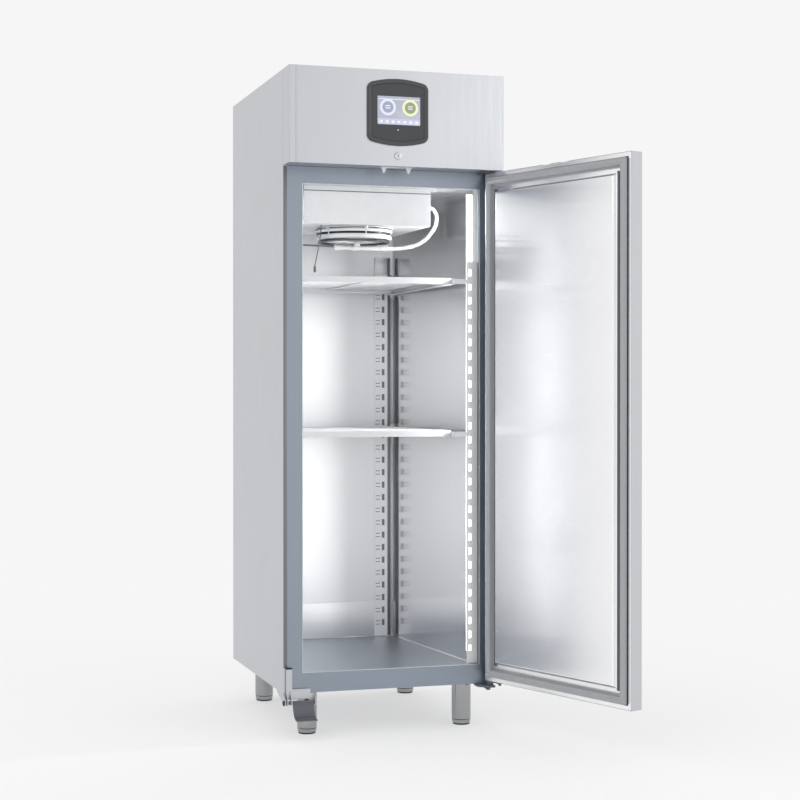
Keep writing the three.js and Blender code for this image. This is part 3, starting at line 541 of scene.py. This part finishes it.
def chamber_edges():
    """The lower back sheet, the floor's weld seams, and the strips along the opening and the casing."""
    kick = box(64, 570, 700.6, 702.6, 204, 326, 0.7)
    assemble("back_kick_sheet", [kick], FINISH["chamber"])
    bead = wire((576.5, 696, 203.2), (633.5, 34, 203.2), 1.6)
    seam = wire((66, 699.5, 202), (566, 699.5, 202), 1.5)
    assemble("floor_seams", [bead, seam], FINISH["polished"])
    left, right, bottom, top, y = 62.4, 647.8, 200.9, 1728.2, 0.4
    corners = [(left, y, bottom), (left, y, top), (right, y, bottom), (right, y, top)]
    rims = [wire(corners[i], corners[j], 0.9) for i, j in ((0, 1), (2, 3), (0, 2), (1, 3))]
    assemble("opening_rims", rims, FINISH["grip"])
    # dark strips on the casing's front edges: painted shade
    edges = [box(x, x + 11.9, -0.35, 0.1, 218, 1779, 0.15) for x in (0.9, 687.2)]
    assemble("casing_front_edge_shades", edges, FINISH["shade"])


def lamp_diodes():
    """Bare diodes: one row behind the front right post, and one in four lengths on the left wall."""
    steps = np.linspace(250, 1704, 82)
    diodes = [box(616.2, 620.8, 15.9, 17.1, z - 2.3, z + 2.3, 0.4, 0.8, "Y") for z in steps]
    lit = glowing("bare lamp diodes", linear("#ffffff"), 3.0)
    assemble("lamp_diodes", diodes, lit)
    pitch = 16.7
    lengths = ((227, 526), (565, 952), (991, 1360), (1406, 1701))
    rows = [z for low, high in lengths for z in np.arange(low, high, pitch)]
    side_diodes = [box(61.9, 62.9, 60, 64, z - 2, z + 2, 0.2, 0.8, "Y") for z in rows]
    bright = glowing("bare side lamp diodes", linear("#ffffff"), 36.0)
    assemble("side_lamp_diodes", side_diodes, bright)


def rear_post():
    """The rear right post: dark pieces that paint the shade in the channel behind its slots, in its paired
    louvres and slots, and on its folded side.
    """
    starts = 240.0 + 44.8 * np.arange(28)
    # dark channel, louvres and slots: painted shade in the post's openings
    channel = [box(529, 542, 700, 701.4, 206, 1494, 0.3)]
    louvres = [box(507, 523, 697.55, 698.05, start + z, start + z + 2.4, 0.12)
               for start in starts for z in (3, 15)]
    slots = [box(530.2, 539.8, 697.6, 698.1, start, start + 22, 0.12) for start in starts]
    assemble("rear_post_opening_shades", channel + louvres + slots, FINISH["shade"])
    # dark strip: painted shade on the post's side flange
    fold = box(552, 561, 697.5, 700.5, 204, 1556, 0.5)
    assemble("rear_post_fold_shade", [fold], FINISH["shade"])
    head = box(504, 551, 699.8, 701.5, 1498, 1556, 0.4)
    assemble("rear_post_top", [head], FINISH["chamber"])
    between_runners = ((204, 925), (962, 1412), (1454, 1494))
    returns = [box(561.3, 562.5, 673, 697, low, high, 0.3) for low, high in between_runners]
    assemble("rear_post_return", returns, FINISH["chamber"])


class CABINET_OT_chamber(bpy.types.Operator):
    """Make the chamber's edge strips and seams, the lamps' diodes, the rear post's details and the shadow
    lines of the unit's cover."""

    bl_idname = "cabinet.chamber"
    bl_label = "Chamber fittings"

    def execute(self, context):
        chamber_edges()
        lamp_diodes()
        rear_post()
        plate = box(632.5, 645.5, 14, 15.4, 1498, 1728, 0.4)
        assemble("lamp_side_plate", [plate], FINISH["lining"])
        joint = box(79.4, 498.6, 47.55, 48.3, 1711.2, 1714.2, 0.2)
        end = box(67.5, 78, 60, 62, 1611, 1727, 0.5)
        assemble("cover_joint_shadow", [joint, end], FINISH["shade"])
        return {"FINISHED"}


def fan_guard(x, y):
    """Two broad bands and a thin rim, and finer rings under the blades, on six bent ribs with a nut each."""
    turn = np.linspace(0, 2 * math.pi, 16, endpoint=False)
    bands = [(123, 1596, 2.6, 5.2), (119.5, 1577, 3.2, 7.2)]
    parts = [revolved([(r + a * math.cos(t), z + b * math.sin(t)) for t in turn], x, y, 96, True)
             for r, z, a, b in bands]
    rim = 124.5
    parts.append(hoop(x, y, 1606, rim, 1.8))
    parts += [hoop(x, y, 1571, radius, thick) for radius, thick in ((96, 1.8), (72, 1.8), (48, 2.2))]
    rib = np.array([(122, 1606.5), (122.5, 1590), (119, 1577), (108, 1571.5), (48, 1570.5)])
    nut = [(1, 1600), (4.5, 1601), (5.5, 1604), (5.5, 1606), (4, 1608.3), (1, 1608.3)]
    ribs, offset = 6, 0.55
    for a in (np.arange(ribs) + offset) / ribs * 2 * math.pi:
        path = np.stack([x + rib[:, 0] * math.cos(a), y + rib[:, 0] * math.sin(a), rib[:, 1]], -1)
        parts.append(tube(curve(path, 20), 1.9, 10, (-math.sin(a), math.cos(a), 0)))
        parts.append(revolved(nut, x + rim * math.cos(a), y + rim * math.sin(a), 24))
    assemble("fan_guard_wires", parts, FINISH["coating"], hides=("fan_guard",))


def fan_drum(x, y):
    """The short black drum that stands round the blades."""
    drum = revolved([(106, 1608.3), (115, 1608.3), (115, 1583), (106, 1583)], x, y, 96, True)
    assemble("fan_drum", [drum], FINISH["black"])


def ring_heater(x, y):
    """A tube wound with a fin: its radius steps up and down 150 times along the ring."""
    turn = np.linspace(0, 2 * math.pi, 900, endpoint=False)
    radius, height, fins = 112, 1564.0, 150
    ring = np.stack([x + radius * np.cos(turn), y + radius * np.sin(turn), np.full(len(turn), height)], -1)
    thick = 2.7 + 2.2 * (np.sin(turn * fins) > 0.2)
    assemble("finned_ring_heater", [tube(ring, thick, 10, (0, 0, 1), closed=True)], FINISH["shade"],
             sharp=50, hides=("ring_heater",))


def impeller(x, y):
    """A hub and five blades. Each blade is a thin sheet over u, from hub to tip, and v, across it: its sweep
    and its pitch shrink with u, and it bulges by 2.5 times (1 - v squared)."""
    hub = [(1, 1611.5), (30, 1611.5), (35, 1614), (36, 1618), (36, 1637), (1, 1637)]
    blades = [revolved(hub, x, y)]
    u, v = np.meshgrid(np.linspace(0, 1, 9), np.linspace(-1, 1, 9), indexing="ij")
    radius, sweep = 34 + 74 * u, v * (0.42 - 0.06 * u)
    height = 1625 + v * (10 - 2 * u) + 2.5 * (1 - v * v)
    count, thickness = 5, 1.6
    for k in range(count):
        a = sweep + k / count * 2 * math.pi
        face = np.stack([x + radius * np.cos(a), y + radius * np.sin(a), height], -1)
        blades.append(skin(np.concatenate([face, (face - (0, 0, thickness))[:, ::-1]], 1)))
    assemble("fan_blades", blades, FINISH["black"], body="fan", hides=("fan_impeller",))


def steam_bar(y, z):
    """The steam pipe with three collars, a hanger, a clip, and the cable wound round its left end."""
    count = 40
    path = np.stack([np.linspace(199, 376, count), np.full(count, y), np.full(count, z)], -1)
    end = np.sqrt(np.clip(np.linspace(0, 1, count) * 30, 0.15, 1))
    pipe = tube(path, 6.9 * end * end[::-1], 24, (0, 0, 1))
    collars = ((6.8, 8.3, 196, 229), (7.0, 8.2, 254, 278), (6.6, 8.0, 350, 376))
    rings = [revolved_x([(inner, low), (outer, low + 1), (outer, high - 1), (inner, high)], y, z)
             for inner, outer, low, high in collars]
    hanger = box(266, 274, 117, 120, 1544, 1608.4, 0.7)
    clip = box(260, 280, 108, 112, 1545, 1561, 1.5)
    t = np.linspace(0, 1, 240)
    wound, reach, turns = 9.0, 50, 44
    coil = np.stack([202 + reach * t, y + wound * np.cos(t * turns), z + 4 + wound * np.sin(t * turns)], -1)
    cable = tube(coil, 1.2, 8, (1, 0.1, 0))
    assemble("steam_pipe", [pipe, *rings, hanger, clip, cable], FINISH["nylon"], hides=("steam_bar",))


def steam_hose(y, z, pitch):
    """The corrugated hose: a tube along its route between two smooth cuffs. Its radius is a sine of the way
    along it, one wave to each pitch, squared off by tanh."""
    x = 499.4
    route = [(x, y, 1677), (x + 12, y, 1677), (x + 30, y, 1672), (x + 42, y, 1655), (x + 43, y, 1636),
             (x + 38, y, 1616), (x + 24, y, 1594), (x + 2, y, 1571), (x - 30, y, 1553), (x - 66, y, 1544),
             (x - 100, y, 1540.5), (376.4, y, z)]
    path = curve(route, 700)
    run = np.concatenate([[0], np.cumsum(np.linalg.norm(np.diff(path, axis=0), axis=1))])
    ribs = 5.5 + 0.75 * np.tanh(2.5 * np.sin(run / pitch * 2 * math.pi))
    radius = np.where((run < 14) | (run > run[-1] - 16), 6.9, ribs)
    assemble("corrugated_hose", [tube(path, radius, 20)], FINISH["hose"], sharp=60, hides=("steam_hose",))


def probe_and_rod():
    """The temperature probe on its lead, and the plain rod that runs from the left wall to the steam bar."""
    x, y = 131, 112
    lead = curve([(148, 96, 1608.6), (146, 97, 1585), (143, 100, 1555), (138, 105, 1520), (133, 110, 1490),
                  (x, y, 1478)], 60)
    tip = revolved([(1, 1458), (3, 1459.5), (4, 1462), (4, 1474), (2.6, 1479)], x, y, 24)
    assemble("probe_lead", [tube(lead, 1.7, 10), tip], FINISH["dark"], hides=("temperature_probe",))
    rod = wire((66.5, 118, 1546), (196, 118, 1543), 3.0)
    assemble("heater_rod", [rod], FINISH["shade"])


class CABINET_OT_air_unit(bpy.types.Operator):
    """Make the fan, its guard, the ring heater, the steam bar, the hose and the probe."""

    bl_idname = "cabinet.air_unit"
    bl_label = "Air and steam unit"

    def execute(self, context):
        fan_axis = (281.0, 187.0)
        fan_guard(*fan_axis)
        fan_drum(*fan_axis)
        ring_heater(*fan_axis)
        impeller(*fan_axis)
        steam_axis = (118.0, 1540.0)
        steam_bar(*steam_axis)
        steam_hose(*steam_axis, context.scene.cabinet_sizes.hose_rib * 1000)
        probe_and_rod()
        return {"FINISHED"}


class CABINET_OT_legs(bpy.types.Operator):
    """Make the polished legs and their levelling feet."""

    bl_idname = "cabinet.legs"
    bl_label = "Legs and feet"

    def execute(self, context):
        for end, y in (("front", 62.0), ("rear", 668.0)):
            for side, x in (("left", 92.0), ("right", 608.0)):
                spot = f"{end}_{side}"
                sleeve = [(15.8, 118), (15.8, 18.6), (27.5, 18.1), (29.8, 18.8), (30.9, 21), (31.2, 26),
                          (31.2, 126), (31.2, 133.5), (30.6, 137.4), (16, 137.5)]
                assemble("leg_sleeve_" + spot, [revolved(sleeve, x, y, 72)], material=FINISH["leg"],
                         hides=("leg_" + spot,))
                cup = [(15, 70), (15, 17.6), (29.4, 17.5), (30.4, 16.6), (30.5, 14.5), (29.8, 10.5),
                       (28.2, 5.2), (26.9, 4.9), (15, 4.9)]
                assemble("foot_cup_" + spot, [revolved(cup, x, y, 72)], body="foot_" + spot,
                         material=FINISH["leg"], hides=("foot_" + spot,))
                sole = [(2, 0), (24.5, 0), (26.3, 0.6), (27.4, 2), (27.8, 4.6), (25, 4.85), (2, 4.85)]
                assemble("foot_sole_" + spot, [revolved(sole, x, y, 72)], body="foot_" + spot,
                         material=FINISH["rubber"])
        return {"FINISHED"}


class CABINET_OT_pedal(bpy.types.Operator):
    """Make the pedal's rod and curved tread."""

    bl_idname = "cabinet.pedal"
    bl_label = "Foot pedal"

    def execute(self, context):
        y0, z0, bend, thick = -15.0, 111.5, 45.0, 3
        # the tread hangs forward of its rod in a quarter circle about (cy, cz), then runs out level
        cy, cz, lip = y0 - bend - 5, z0 - 4, 6
        turn = np.linspace(0, -math.pi / 2, 24)
        arc = np.stack([np.cos(turn), np.sin(turn)], -1)
        outer = (cy, cz) + bend * arc
        inner = ((cy, cz) + (bend - thick) * arc)[::-1]
        level = [(cy - lip, cz - bend), (cy - lip, cz - bend + thick)]
        section = np.concatenate([[(cy + bend, z0)], outer, level, inner, [(cy + bend - thick, z0)]])
        tread = extruded_x(section, 26, 93)
        rod = revolved_x([(3, -4.4), (5.4, -4.2), (6, -3.4), (6, 100), (5.4, 100.8), (3, 101)], y0, z0)
        cap = revolved_x([(4, -4.4), (7.6, -4.2), (8.2, -3.4), (8.2, -0.4), (7.6, 0.2), (4, 0.3)], y0, z0)
        grip = [(2.6, 30), (3, 30.4), (3, 88.6), (2.6, 89)]
        inside = bend - thick - 0.4
        ribs = [revolved_x(grip, cy + inside * math.cos(a), cz + inside * math.sin(a), 16)
                for a in (-1.0, -1.2, -1.4)]
        assemble("pedal_tread", [tread, rod, *ribs], FINISH["dark"], body="pedal", hides=("pedal_lever",))
        assemble("pedal_rod_cap", [cap], FINISH["black"], body="pedal")
        return {"FINISHED"}


def bowed(x, y, z, inset):
    """A ring of the display's outline about (x, z): a rounded rectangle whose top and bottom edges bow out.
    There z gains bow times (1 - (x / half width) squared), which fades out towards mid height."""
    half_w, half_h, bow, corner = 99.5, 88, 16, 16
    flat = outline(-half_w, half_w, -half_h, half_h, corner, inset, 10)
    dense = np.concatenate([np.linspace(flat[i], flat[(i + 1) % len(flat)], 12, endpoint=False)
                            for i in range(len(flat))])
    lift = bow * (1 - (dense[:, 0] / half_w) ** 2) * np.sign(dense[:, 1])
    lift *= np.clip(np.abs(dense[:, 1]) / (half_h * 0.8), 0, 1) ** 4
    return np.stack([x + dense[:, 0], np.full(len(dense), y), z + dense[:, 1] + lift], -1)


def display_case(front, x, z):
    """The display's moulded surround, its glass and the housing behind the panel."""
    lip = [(0, -0.4), (0, -4.5), (0.8, -6.4), (2.4, -7.4), (4.5, -7.8), (12.5, -7.2), (14.2, -5.6),
           (14.4, -0.4)]
    surround = skin(np.array([bowed(x, front + depth, z, inset) for inset, depth in lip]), along=True)
    assemble("display_surround", [surround], FINISH["abs"], body="control_panel", sharp=40,
             hides=("display_bezel",))
    pane = [(14.6, -0.4), (14.6, -5.0), (15.2, -5.4)]
    glass = skin(np.array([bowed(x, front + depth, z, inset) for inset, depth in pane]))
    assemble("display_glass", [glass], FINISH["glass"], body="control_panel", sharp=20,
             hides=("display_unit",))
    housing = box(x - 71.5, x + 71.5, front - 0.6, front + 29.5, 1888.5, 2011.5, 1.5)
    assemble("display_housing", [housing], FINISH["black"], body="control_panel")


def lit_piece(name, parts, finish, hex_text, strength=0.2, roughness=0.12):
    """A lit piece of the display, in a finish of its own."""
    assemble(name, parts, glowing(finish, linear(hex_text), strength, roughness), body="control_panel")


def display_picture(face):
    """What the display shows: a band, two dials with discs, and plain marks, all thin plates on the glass."""
    picture = box(280, 419, face - 0.25, face + 0.05, 1909, 1997, 0.1, 2.0, "Y")
    lit_piece("display_picture", [picture], "lit display, grey blue", "#a2a7b2", 0.3)
    band = box(280.5, 418.5, face - 0.4, face - 0.2, 1909.5, 1928, 0.1, 2.0, "Y")
    lit_piece("display_band", [band], "lit display, lilac", "#b6b8cc", 0.3)
    left, right, height = 313.5, 386.5, 1963
    ring = [(18, face - 0.7), (26, face - 0.7), (26, face - 0.2), (18, face - 0.2)]
    plate = [(0.5, face - 0.5), (17.8, face - 0.5), (17.8, face - 0.2), (0.5, face - 0.2)]
    for side, x, rim, core in (("left", left, "#d6d8ee", "#9a9cb6"), ("right", right, "#dfe3bd", "#8f9678")):
        dial = revolved_y(ring, x, height, 64, True)
        lit_piece("display_dial_" + side, [dial], "lit display ring, " + side, rim)
        disc = revolved_y(plate, x, height, 48)
        lit_piece("display_disc_" + side, [disc], "lit display disc, " + side, core)
    marks = [box(x - 4, x + 4, face - 0.6, face - 0.2, 1914, 1922, 0.1, 1.5, "Y")
             for x in np.linspace(292, 407, 7)]
    marks.append(box(284, 415, face - 0.5, face - 0.2, 1987, 1989, 0.1, 0.5, "Y"))
    marks += [box(x - 8, x + 8, face - 0.75, face - 0.45, z - 1.5, z + 1.5, 0.1, 0.8, "Y")
              for x in (left, right) for z in (1967, 1960)]
    lit_piece("display_marks", marks, "lit display, white", "#dfe2ea", 0.25)
    lamp_dot = revolved_y([(0.5, face - 0.5), (1.6, face - 0.4), (1.9, face)], 347, 1893, 20)
    lit_piece("display_lamp", [lamp_dot], "lit indicator", "#c9ccd4", 0.6, 0.2)


def lock_face(front, x, z):
    """The lock's collar and barrel, and its keyway."""
    rim = [(10.2, -0.4), (11.4, -1.2), (11.4, -3.4), (10.6, -4.4), (8.6, -4.5), (8.2, -3.8), (3, -3.8)]
    collar = revolved_y([(radius, front + depth) for radius, depth in rim], x, z, 56)
    plug = [(3, -3), (8.4, -3), (8.4, 25), (7.6, 26), (3, 26)]
    barrel = revolved_y([(radius, front + depth) for radius, depth in plug], x, z, 40)
    assemble("lock_face", [collar, barrel], FINISH["polished"], body="lock_barrel", hides=("lock_barrel",))
    key = box(x - 0.8, x + 0.8, front - 4.05, front - 3.7, z - 4.5, z + 4.5, 0.1, 0.3, "Y")
    assemble("lock_keyway", [key], FINISH["black"], body="lock_barrel")


class CABINET_OT_control(bpy.types.Operator):
    """Make the display, its surround, the lock and the panel's edge bead."""

    bl_idname = "cabinet.control"
    bl_label = "Control panel"

    def execute(self, context):
        front = -83.0
        display_case(front, 347.0, 1948.0)
        display_picture(front - 5.5)
        lock_face(front, 348, 1813)
        low, high = 1782.5, 2078.5
        bead = [wire((21, front - 0.15, low), (21, front - 0.15, high), 1.3, 12),
                wire((25.5, front - 0.1, low), (25.5, front - 0.1, high), 0.9, 12)]
        assemble("panel_edge_bead", bead, FINISH["outer"], body="control_panel")
        return {"FINISHED"}


class CABINET_OT_machinery(bpy.types.Operator):
    """Make the compressor, the finned condenser, its fan ring and their deck."""

    bl_idname = "cabinet.machinery"
    bl_label = "Machine deck"

    def execute(self, context):
        deck = box(24, 676, 66, 735, 1777, 1780, 0.8)
        assemble("machine_deck", [deck], FINISH["outer"], hides=("condensing_unit",))
        x0, y0 = 190, 380
        shell = [(30, 1781), (78, 1781), (84, 1786), (87, 1796), (88, 1820), (90, 1858), (90, 1864),
                 (87.5, 1866), (87.5, 1905), (84, 1925), (72, 1948), (50, 1962), (26, 1967), (6, 1968)]
        foot = box(x0 - 100, x0 + 100, y0 - 70, y0 + 70, 1780.4, 1783, 0.8)
        assemble("compressor", [revolved(shell, x0, y0, 72), foot], FINISH["enamel"])
        left, right, bar, bottom, top = 390, 640, 6, 1780.5, 2010
        fins = [box(x, x + 1.2, 152, 213, 1786, 2008, 0.2) for x in np.arange(398, 634, 6.0)]
        posts = [box(x, x + bar, 150, 215, bottom, top, 1) for x in (left, right - bar)]
        rails = [box(left, right, 150, 215, low, high, 1) for low, high in ((bottom, 1785), (2005, top))]
        assemble("condenser_fins", fins + posts + rails, FINISH["fins"])
        runs = [revolved_x([(4, 384), (5, 385), (5, 645), (4, 646)], y, z, 16)
                for y in (167, 198) for z in np.arange(1800, 2004, 32)]
        route = [(x0, y0, 1950), (190, 330, 1985), (230, 270, 1995), (320, 210, 1980), (386, 198, 1960)]
        pipe = tube(curve(route, 60), 4.5, 14, (0, 0, 1))
        assemble("copper_pipes", [*runs, pipe], FINISH["copper"])
        ring = [(95, 216), (98, 216), (98, 239), (96, 240), (95, 239)]
        assemble("condenser_fan_ring", [revolved_y(ring, 515, 1895, 64, True)], FINISH["black"])
        return {"FINISHED"}


def lamp(name, spot, target, width, height, power, spread=180.0):
    """A rectangular area light at spot, turned to face target."""
    light = bpy.data.lights.new(name, "AREA")
    light.spread = math.radians(spread)
    light.shape, light.size, light.size_y, light.energy = "RECTANGLE", width, height, power
    made = bpy.data.objects.new(name, light)
    made.location = spot
    aim = np.array(target) - np.array(spot)
    level = math.hypot(aim[0], aim[1])
    made.rotation_euler = (math.atan2(level, -aim[2]), 0, math.atan2(aim[1], aim[0]) - math.pi / 2)
    bpy.context.scene.collection.objects.link(made)


class CABINET_OT_stage(bpy.types.Operator):
    """Make the camera, the floor, the lights and the surroundings."""

    bl_idname = "cabinet.stage"
    bl_label = "Stage"

    def execute(self, context):
        scene = context.scene
        lens = bpy.data.cameras.new("camera")
        lens.lens, lens.sensor_width = 77.74, 36.0
        camera = bpy.data.objects.new("camera", lens)
        camera.location = (-1.7156, -5.2799, 1.0847)
        camera.rotation_euler = (math.radians(89.654), 0, math.radians(-17.33))
        scene.collection.objects.link(camera)
        scene.camera = camera
        scene.view_settings.view_transform = "Standard"

        # a matt floor that also glows a little, so that it runs into the pale surroundings without an edge
        reach = 90
        mesh = bpy.data.meshes.new("studio_floor")
        mesh.from_pydata([(-reach, -reach, 0), (reach, -reach, 0), (reach, reach, 0), (-reach, reach, 0)],
                         [], [(0, 1, 2, 3)])
        floor = bpy.data.objects.new("studio_floor", mesh)
        scene.collection.objects.link(floor)
        paper, tree = blank("pale studio paper")
        shader = add(tree, "ShaderNodeBsdfPrincipled",
                     inputs={"Base Color": (0.5, 0.5, 0.5, 1), "Roughness": 1.0, "Specular IOR Level": 0.0,
                             "Emission Color": (1, 1, 1, 1), "Emission Strength": 0.462})
        mesh.materials.append(finish_material(tree, paper, shader))

        world = bpy.data.worlds.new("studio")
        scene.world = world
        world.use_nodes = True
        sky = world.node_tree.nodes["Background"]
        sky.inputs["Color"].default_value = (*linear("#f6f6f6"), 1)
        sky.inputs["Strength"].default_value = 1.0

        lamp("key softbox", (-2.6, -3.2, 3.4), (-0.2, 0.1, 1.0), 2.4, 2.4, 8)
        lamp("side softbox", (3.1, -4.6, 1.9), (0.1, 0.0, 1.2), 2.6, 3.6, 38)
        x, y, z = from_corner([606, 45, 990])
        lamp("chamber lamp", (x, y, z), (x - 0.6, y + 0.2, z), 0.03, 1.45, 4.2, 110.0)
        return {"FINISHED"}


class CABINET_PT_panel(bpy.types.Panel):
    """The cabinet's steps and settings."""

    bl_label = "Proofing cabinet"
    bl_idname = "CABINET_PT_panel"
    bl_space_type = "VIEW_3D"
    bl_region_type = "UI"
    bl_category = "Cabinet"

    def draw(self, context):
        for step in STEPS:
            self.layout.operator(step.bl_idname)
        for group in (context.scene.cabinet_sizes, context.scene.cabinet_colours):
            for key in group.__annotations__:
                self.layout.prop(group, key)


STEPS = (CABINET_OT_stage, CABINET_OT_finishes, CABINET_OT_door, CABINET_OT_shelves, CABINET_OT_chamber,
         CABINET_OT_air_unit, CABINET_OT_legs, CABINET_OT_pedal, CABINET_OT_control, CABINET_OT_machinery)
CLASSES = (CabinetSizes, CabinetColours, *STEPS, CABINET_PT_panel)


def register():
    for cls in CLASSES:
        bpy.utils.register_class(cls)
    bpy.types.Scene.cabinet_sizes = bpy.props.PointerProperty(type=CabinetSizes)
    bpy.types.Scene.cabinet_colours = bpy.props.PointerProperty(type=CabinetColours)


def unregister():
    del bpy.types.Scene.cabinet_colours
    del bpy.types.Scene.cabinet_sizes
    for cls in reversed(CLASSES):
        bpy.utils.unregister_class(cls)


def main():
    register()
    for step in STEPS:
        group, name = step.bl_idname.split(".")
        getattr(getattr(bpy.ops, group), name)()


if __name__ == "__main__":
    main()
